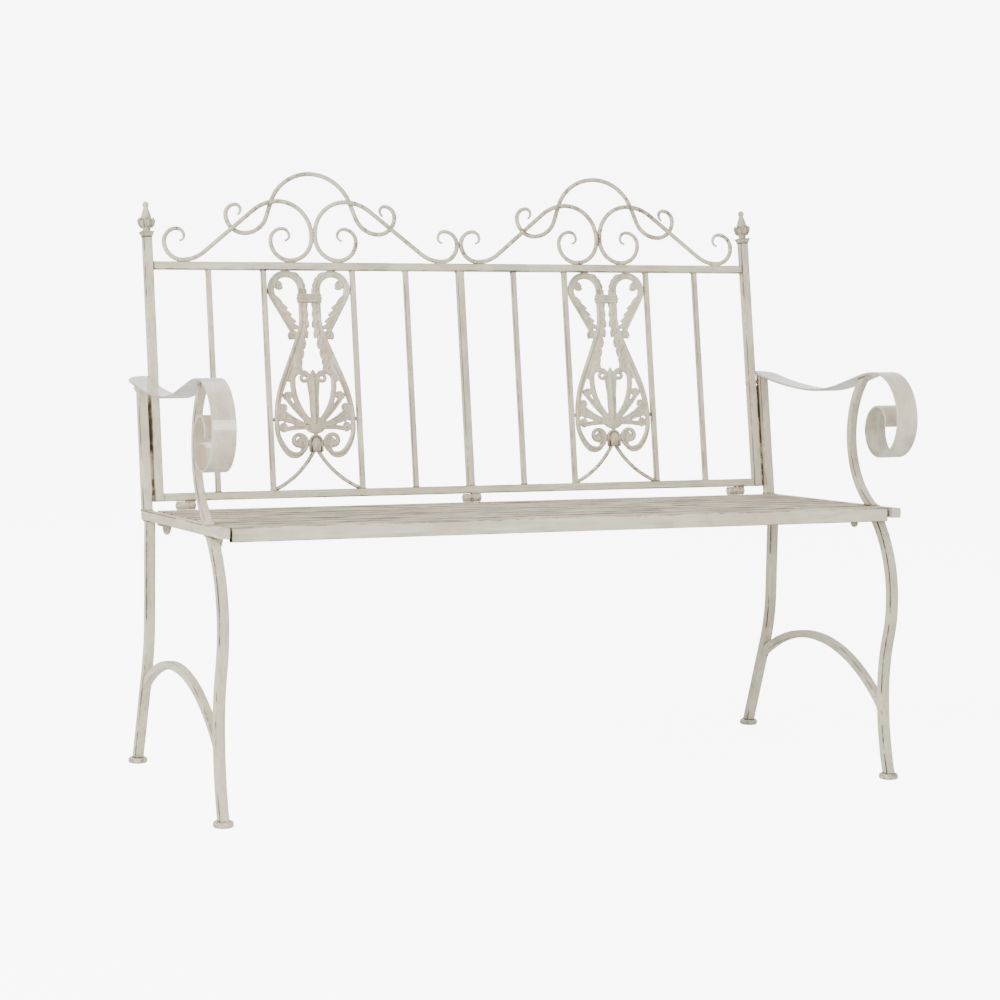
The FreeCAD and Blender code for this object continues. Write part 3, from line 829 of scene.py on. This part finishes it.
def makeClasp():
    # the ribbed band across the lyre's neck: three ridges on a plate
    rise = (clasp["high"] - clasp["low"]) / clasp["ridges"]
    thick = clasp["thick"]
    parts = []
    for number in range(clasp["ridges"]):
        height = clasp["low"] + rise * (number + 0.5)
        width = 2 * clasp["half"] - (0 if number == 1 else 2.0)
        parts.append(sweep("ridge", rise * 1.12, thick, (-width / 2, height), 0, [(width,)], sides=14))
    middle = (0, 0, (clasp["low"] + clasp["high"]) / 2)
    size = (2 * clasp["half"] - 2, thick - 2.2, 2.4 * rise)
    parts.append(drawn("claspPlate", bpy.ops.mesh.primitive_cube_add, middle, size, size=1))
    whole = joined("clasp", parts)
    castWhole(whole, clasp["voxel"], clasp["keep"])
    return whole


def placeLyres():
    whole = makeLyre()
    band = makeClasp()
    for side in ("left", "right"):
        low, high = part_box(f"{side}_ornament")
        middle = (low.x + high.x) / 2 / mm
        place = Matrix.Translation((middle, lyre["behind"], lyre["foot"]))
        backPiece(whole, f"{side}_lyre", place, f"{side}_ornament", castPaint)
        backPiece(band, f"{side}_clasp", place, "ornament_bindings", castPaint)
    removed(whole)
    removed(band)


placeLyres()
print("ornaments ready")


# cast finials: a turned stem and bud with a cup of leaves, on a flared square collar

finial = {
    "collarWidth": 23.5,
    # height and share of the full width
    "collar": ((0.0, 0.66), (2.8, 0.72), (5.7, 0.94), (8.5, 1.0)),
    # radius and height above the stile
    "stem": ((6.4, 7.0), (6.2, 12.0), (7.4, 15.0), (10.0, 19.5), (11.6, 24.0), (11.8, 27.0), (9.2, 29.5),
             (8.6, 33.0), (7.4, 38.5), (5.4, 44.5), (3.9, 48.4), (3.6, 49.2), (4.7, 50.6), (5.4, 53.0),
             (5.3, 55.2), (4.2, 57.4), (2.2, 58.8), (0.5, 59.2)),
    # count, first angle, root, tilt and size
    "leaves": ((8, 0.0, (8.4, 15.5), 69, 0.74), (8, 22.5, (9.6, 22.5), 76, 0.5)),
    "voxel": 0.5,
    "keep": 0.4,
}


def makeCollar():
    width = finial["collarWidth"]
    height = finial["collar"][-1][0]
    size = (width, width, height)
    collar = drawn("collar", bpy.ops.mesh.primitive_cube_add, (0, 0, height / 2), size, 2, size=1)
    for level, share in finial["collar"]:
        shaped(collar, lambda co: abs(co.z - level) < 0.4, (share, share, 1))
    # a fine quirk under the collar's top edge
    level = finial["collar"][-2][0]
    shaped(collar, lambda co: abs(co.z - level) < 0.4, (0.9, 0.9, 1), (0, 0, level), (0, 0, 0.9))
    return collar


def makeStem():
    radius, height = finial["stem"][0]
    stem = emptyPiece("stem")
    bpy.ops.object.mode_set(mode="EDIT")
    bpy.ops.mesh.primitive_circle_add(vertices=28, radius=radius, location=(0, 0, height))
    for wide, high in finial["stem"][1:]:
        bpy.ops.mesh.extrude_region_move(TRANSFORM_OT_translate={"value": (0, 0, high - height)})
        bpy.ops.transform.resize(value=(wide / radius, wide / radius, 1), center_override=(0, 0, high))
        radius, height = wide, high
    closeMesh()
    return stem


def makeFinial():
    parts = [makeCollar(), makeStem()]
    lobe = leafLobe()
    for count, first, root, tilt, size in finial["leaves"]:
        for number in range(count):
            leaf = copied(lobe, root, tilt, (size, 0.9 * size, size))
            leaf.data.transform(Matrix.Rotation(math.radians(first + 360 * number / count), 4, "Z"))
            parts.append(leaf)
    removed(lobe)
    whole = joined("finial", parts)
    castWhole(whole, finial["voxel"], finial["keep"])
    return whole


def placeFinials():
    whole = makeFinial()
    for side in ("left", "right"):
        low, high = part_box(f"{side}_stile")
        middle = (low.x + high.x) / 2 / mm
        place = Matrix.Translation((middle, back["thick"] / 2, back["height"]))
        backPiece(whole, f"{side}_finial_cast", place, f"{side}_finial", castPaint)
    removed(whole)


placeFinials()
print("finials ready")


# scroll rods: hammered thinner towards their curled tips

scrolls = {
    "rod": 7.7,
    "group": 263.0,        # middle of each group from the bench's middle
    "foot": (-229.5, 399.6),
    "behind": 4.0,
    "lap": 1.5,            # how far each half goes on past where they meet
    "outer": [(29.8, -90), (22.5, -90, 0.86), (12.0, -90, 0.76), (8.0, -90, 0.66)],
    "inner": [(60.0, 38.9), (114.0,), (69.6, -38.9), (56.2, -90), (4.7,), (39.4, -90),
              (33.0, -90, 0.95), (21.0, -90, 0.86), (12.0, -90, 0.76), (8.0, -90, 0.66)],
    "top": (0.0, 548.4),
    "archBehind": 10.6,
    "arch": [(74.5, -70), (27.0,), (42.0, 70), (31.0, 90), (17.5, 90, 0.86), (8.5, 90, 0.78),
             (10.0, 60, 0.7)],
}


def scrollHalf(name, start, side):
    # from the start along the rail, to the right with side 1, to the left with -1
    x, z = start
    lap = scrolls["lap"]
    rod = scrolls["rod"]
    heading = 0 if side > 0 else 180
    return sweep(name, rod, rod, (x - side * lap, z), heading, [(lap,)] + scrolls[name], sides=14)


def makeScroll():
    foot = scrolls["foot"]
    whole = joined("scroll", [scrollHalf("outer", foot, -1), scrollHalf("inner", foot, 1)])
    bpy.ops.object.shade_smooth_by_angle(angle=math.radians(50))
    return whole


def makeArch():
    half = scrollHalf("arch", scrolls["top"], 1)
    whole = joined("arch", [half, twinOf(half, Matrix.Scale(-1, 4, (1, 0, 0)))])
    bpy.ops.object.shade_smooth_by_angle(angle=math.radians(50))
    return whole


def placeScrolls():
    scroll = makeScroll()
    arch = makeArch()
    mirrored = Matrix.Scale(-1, 4, (1, 0, 0))
    for side, sign in (("left", -1), ("right", 1)):
        group = Matrix.Translation((sign * scrolls["group"], scrolls["behind"], 0))
        for name, flip in (("outer_scroll", side == "right"), ("inner_scroll", side == "left")):
            place = group @ mirrored if flip else group
            backPiece(scroll, f"{side}_{name}_rod", place, f"{side}_{name}", rodPaint)
        group = Matrix.Translation((sign * scrolls["group"], scrolls["archBehind"], 0))
        backPiece(arch, f"{side}_arch_rod", group, f"{side}_scroll_arch", rodPaint)
    removed(scroll)
    removed(arch)


placeScrolls()
print("scroll rods ready")


# welds: small rough beads along the joints

welds = {
    "step": 4.2,                          # between beads
    "size": (2.9, 2.1, 2.1),
    "rough": 0.22,
    # on the back, from its middle and from the stiles' foot
    "bars": {0.0: 6.0, 99.5: 4.0, 195.6: 4.0, 352.8: 4.0, 448.0: 4.0},    # place and half width
    "barEnds": (13.3, 383.2),             # heights
    "proud": 0.2,                         # how far the beads stand out beside a bar
    "stile": (542.0, 1.2),                # place and depth
    "rails": (0.0, 383.5),                # their lower edges
    "scrollFeet": (229.5, 42.6),          # from the middle of each group
    "scrollFoot": (2.6, 397.0),           # depth and height
    "alongFoot": (-6.0, -2.5, 1.5, 5.0),
    "crossings": ((70.0, 499.4), (139.9, 454.7)),
    "crossing": 7.3,                      # depth
    "besideCrossing": (2.4, -2.0),
    "scrollTouch": (2.0, (440.5, 444.0, 447.5)),    # depth and heights
    "lyre": 274.2,                        # middle of each lyre
    "lyreTop": (40.4, 4.4, 383.2),        # place from that middle, depth and height
    "alongLyreTop": (-4.0, 0.0, 4.0),
    "lyreSide": (72.6, (275.0, 60.0)),    # place and heights from the lyre's foot
    # on the bench
    "apron": 22.0,                        # height of the front apron
    "hinges": (-505.0, 0.0, 505.0),
    "backHinge": (172.1, 444.2),
    "seatHinge": (162.4, 426.6),
}
world = Matrix.Scale(mm, 4)               # the bench's own axes, in millimetres


def makeBead():
    bead = emptyPiece("bead")
    bpy.ops.object.mode_set(mode="EDIT")
    bpy.ops.mesh.primitive_ico_sphere_add(subdivisions=2, radius=1)
    bpy.ops.transform.vertex_random(offset=welds["rough"], seed=4)
    bpy.ops.transform.resize(value=welds["size"], center_override=(0, 0, 0))
    bpy.ops.object.mode_set(mode="OBJECT")
    activate(bead)
    bpy.ops.object.shade_smooth()
    return bead


def beadAt(bead, place, spot, turn=0.0, size=1.0, swing=0):
    # place turns the drawing's lengths into the bench's; swing rolls each bead another way
    spun = Matrix.Rotation(math.radians(turn), 4, "Z") @ Matrix.Rotation(math.radians(67 * swing), 4, "X")
    return twinOf(bead, place @ Matrix.Translation(spot) @ spun @ Matrix.Scale(size, 4))


def seam(bead, place, low, high, size=1.0):
    # beads along the four sides of a joint's outline
    beads = []
    corners = [(low.x, low.y), (high.x, low.y), (high.x, high.y), (low.x, high.y)]
    level = (low.z + high.z) / 2
    for index in range(4):
        start = Vector((*corners[index], level))
        end = Vector((*corners[(index + 1) % 4], level))
        count = max(1, round((end - start).length / welds["step"]))
        for number in range(count):
            spot = start.lerp(end, (number + 0.5) / count)
            swell = size * (0.8 + 0.1 * ((number * 3 + index) % 4))
            beads.append(beadAt(bead, place, spot, 90 * (index % 2), swell, number + index))
    return beads


def seatPlace():
    # from the apron's upper front edge, along the slightly sloping seat
    slope = math.radians(lean["seat"])
    low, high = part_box("front_apron")
    foot = Vector((0, low.y + welds["apron"] * mm * math.sin(slope), high.z))
    return Matrix.Translation(foot) @ Matrix.Rotation(-slope, 4, "X") @ Matrix.Scale(mm, 4)


def endOf(node, place, axis, top):
    # the outline of a node's end: what lies within 1.5 mm of its extreme
    inward = place.inverted() @ frame["nodes"][node].matrix_world
    points = [inward @ vertex.co for vertex in frame["nodes"][node].data.vertices]
    values = [point[axis] for point in points]
    limit = max(values) if top else min(values)
    near = [point for point in points if abs(point[axis] - limit) < 1.5]
    low = Vector([min(point[k] for point in near) for k in range(3)])
    high = Vector([max(point[k] for point in near) for k in range(3)])
    low[axis] = high[axis] = limit
    return low, high


def barWelds(bead, place):
    # round both ends of the middle bar and of each pair beside it
    beads = []
    depth = back["thick"] / 2
    for bar, half in welds["bars"].items():
        out = half + welds["proud"]
        for x in sorted({-bar, bar}):
            for height in welds["barEnds"]:
                low = Vector((x - out, depth - half, height))
                high = Vector((x + out, depth + half, height))
                beads += seam(bead, place, low, high, 0.75)
    return beads


def railWelds(bead, place, side):
    # up the rails' ends, against the stile
    x, depth = welds["stile"]
    beads = []
    for low in welds["rails"]:
        for number in range(4):
            spot = (side * x, depth, low + 2 + number * 3)
            beads.append(beadAt(bead, place, spot, 90, 0.6, number))
    return beads


def scrollWelds(bead, place, side):
    # where the scroll rods stand on the rail, cross and touch
    beads = []
    group = side * scrolls["group"]
    depth, height = welds["scrollFoot"]
    for foot in welds["scrollFeet"]:
        for sign in (-1, 1):
            for shift in welds["alongFoot"]:
                spot = (group + sign * foot + shift, depth + abs(shift) * 0.2, height)
                beads.append(beadAt(bead, place, spot, 0, 1.0, int(shift)))
    aside, up = welds["besideCrossing"]
    for x, z in welds["crossings"]:
        for sign in (-1, 1):
            for shift, swing in ((-1, 1), (1, 2)):
                spot = (group + sign * x + shift * aside, welds["crossing"], z + shift * up)
                beads.append(beadAt(bead, place, spot, 0, 1.0, swing))
    depth, heights = welds["scrollTouch"]
    for z in heights:
        beads.append(beadAt(bead, place, (group, depth, z), 90, 0.9, int(z)))
    return beads


def lyreWelds(bead, place, side):
    # under the top rail and against the bars beside it
    beads = []
    top, depth, level = welds["lyreTop"]
    edge, heights = welds["lyreSide"]
    for sign in (-1, 1):
        for shift in welds["alongLyreTop"]:
            spot = (side * welds["lyre"] + sign * top + shift, depth, level)
            beads.append(beadAt(bead, place, spot, 0, 1.1, int(shift)))
        for height in heights:
            spot = (side * welds["lyre"] + sign * edge, lyre["behind"], lyre["foot"] + height)
            beads.append(beadAt(bead, place, spot, 0, 1.7, 3))
    return beads


def hingeWelds(bead, spot, step):
    # a row of beads beside each hinge's middle
    beads = []
    for x in welds["hinges"]:
        for number in range(5):
            beads.append(beadAt(bead, world, (x + step * (number + 1), *spot), 0, 0.8, number))
    return beads


def backWelds(bead):
    place = backPlace()
    beads = barWelds(bead, place)
    for side in (-1, 1):
        beads += railWelds(bead, place, side)
        beads += scrollWelds(bead, place, side)
        beads += lyreWelds(bead, place, side)
    return beads + hingeWelds(bead, welds["backHinge"], 2.6)


def frameWelds(bead):
    seat = seatPlace()
    beads = []
    for side in ("left", "right"):
        for node, place, top, size in (("front_leg", seat, True, 0.8), ("rear_leg", seat, True, 0.8),
                                       ("arm_support", seat, False, 1.0), ("rear_post", seat, False, 0.8),
                                       ("front_leg", world, False, 0.7), ("rear_leg", world, False, 0.7)):
            low, high = endOf(f"{side}_{node}", place, 2, top)
            beads += seam(bead, place, low, high, size)
        for top in (False, True):
            low, high = endOf(f"{side}_leg_arch", world, 1, top)
            for x in (low.x, high.x):
                for number in range(4):
                    spot = (x, low.y, low.z + (high.z - low.z) * (number + 0.5) / 4)
                    beads.append(beadAt(bead, world, spot, 90, 0.8, number))
    return beads + hingeWelds(bead, welds["seatHinge"], -2.6)


def placeWelds():
    bead = makeBead()
    seams = {"back": ("back_welds", backWelds(bead)), "seat_frame": ("frame_welds", frameWelds(bead))}
    for body, (name, beads) in seams.items():
        piece = joined(name, beads)
        piece.data.materials.append(weldPaint)
        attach(piece, body)
    removed(bead)


placeWelds()
print("welds ready")


# the frame's nodes that stay as they are

plainPieces = {
    "rail_plugs": seatDeep,
    "seat_bearers": seatDeep,
    "seat_brackets": hardwarePaint,
    "spacer_strips": castPaint,
    "frame_bolts": hardwarePaint,
    "cap_nuts": hardwarePaint,
    "hinge_pins": hardwarePaint,
    "hinge_seat_knuckles": hardwarePaint,
    "hinge_back_knuckles": hardwarePaint,
}
for node, piece in frame["nodes"].items():
    if not piece.hide_render:
        piece.data.materials.clear()
        piece.data.materials.append(plainPieces[node])


# floor and light

studio = {
    "floor": rgb(252, 252, 252),
    "reach": 60.0,
    "floorGlow": 7.4,      # how much brighter the floor is to the eye than its own light makes it
    "sky": 0.6,            # the light from all round
    "skyShine": 2.2,       # the same round, as glossy paint mirrors it
    "skyGlow": 8.0,        # the plain backdrop behind the floor's edge
    "target": (0, 0, 0.5),
    "lamps": {             # power, size and place
        "keyLight": (305.0, (2.2, 2.2), (-4.2, -1.8, 3.0)),
        "frontLight": (85.0, (1.2, 1.5), (0.3, -4.2, 1.7)),
        "topLight": (60.0, (3.0, 3.0), (0.5, 1.6, 4.2)),
    },
}


def makeFloor():
    bpy.ops.object.select_all(action="DESELECT")
    bpy.ops.mesh.primitive_circle_add(vertices=64, radius=studio["reach"], fill_type="NGON")
    floor = bpy.context.object
    floor.name = "floor"
    paint = Paint("floorPaint")
    paint.set("Base Color", studio["floor"])
    paint.set("Roughness", 0.85)
    paint.set("Emission Color", (1, 1, 1, 1))
    paint.set("Emission Strength", paint.add("LightPath", output="Is Camera Ray") * studio["floorGlow"])
    floor.data.materials.append(paint.material)


def makeLamp(name, power, size, place):
    data = bpy.data.lights.new(name, "AREA")
    data.shape = "RECTANGLE"
    data.energy = power
    data.size, data.size_y = size
    lamp = bpy.data.objects.new(name, data)
    bpy.context.scene.collection.objects.link(lamp)
    lamp.location = place
    aim = Vector(studio["target"]) - Vector(place)
    lamp.rotation_euler = aim.to_track_quat("-Z", "Y").to_euler()


def makeSky():
    sky = bpy.data.worlds.new("sky")
    sky.use_nodes = True
    nodes = sky.node_tree.nodes
    links = sky.node_tree.links
    path = nodes.new("ShaderNodeLightPath")
    shine = nodes.new("ShaderNodeMapRange")
    shine.inputs["To Min"].default_value = studio["sky"]
    shine.inputs["To Max"].default_value = studio["skyShine"]
    links.new(path.outputs["Is Glossy Ray"], shine.inputs["Value"])
    strength = nodes.new("ShaderNodeMapRange")
    strength.inputs["To Max"].default_value = studio["skyGlow"]
    links.new(shine.outputs["Result"], strength.inputs["To Min"])
    links.new(path.outputs["Is Camera Ray"], strength.inputs["Value"])
    nodes["Background"].inputs["Color"].default_value = (1, 1, 1, 1)
    links.new(strength.outputs["Result"], nodes["Background"].inputs["Strength"])
    bpy.context.scene.world = sky


makeFloor()
for name, lamp in studio["lamps"].items():
    makeLamp(name, *lamp)
makeSky()
print("studio ready")
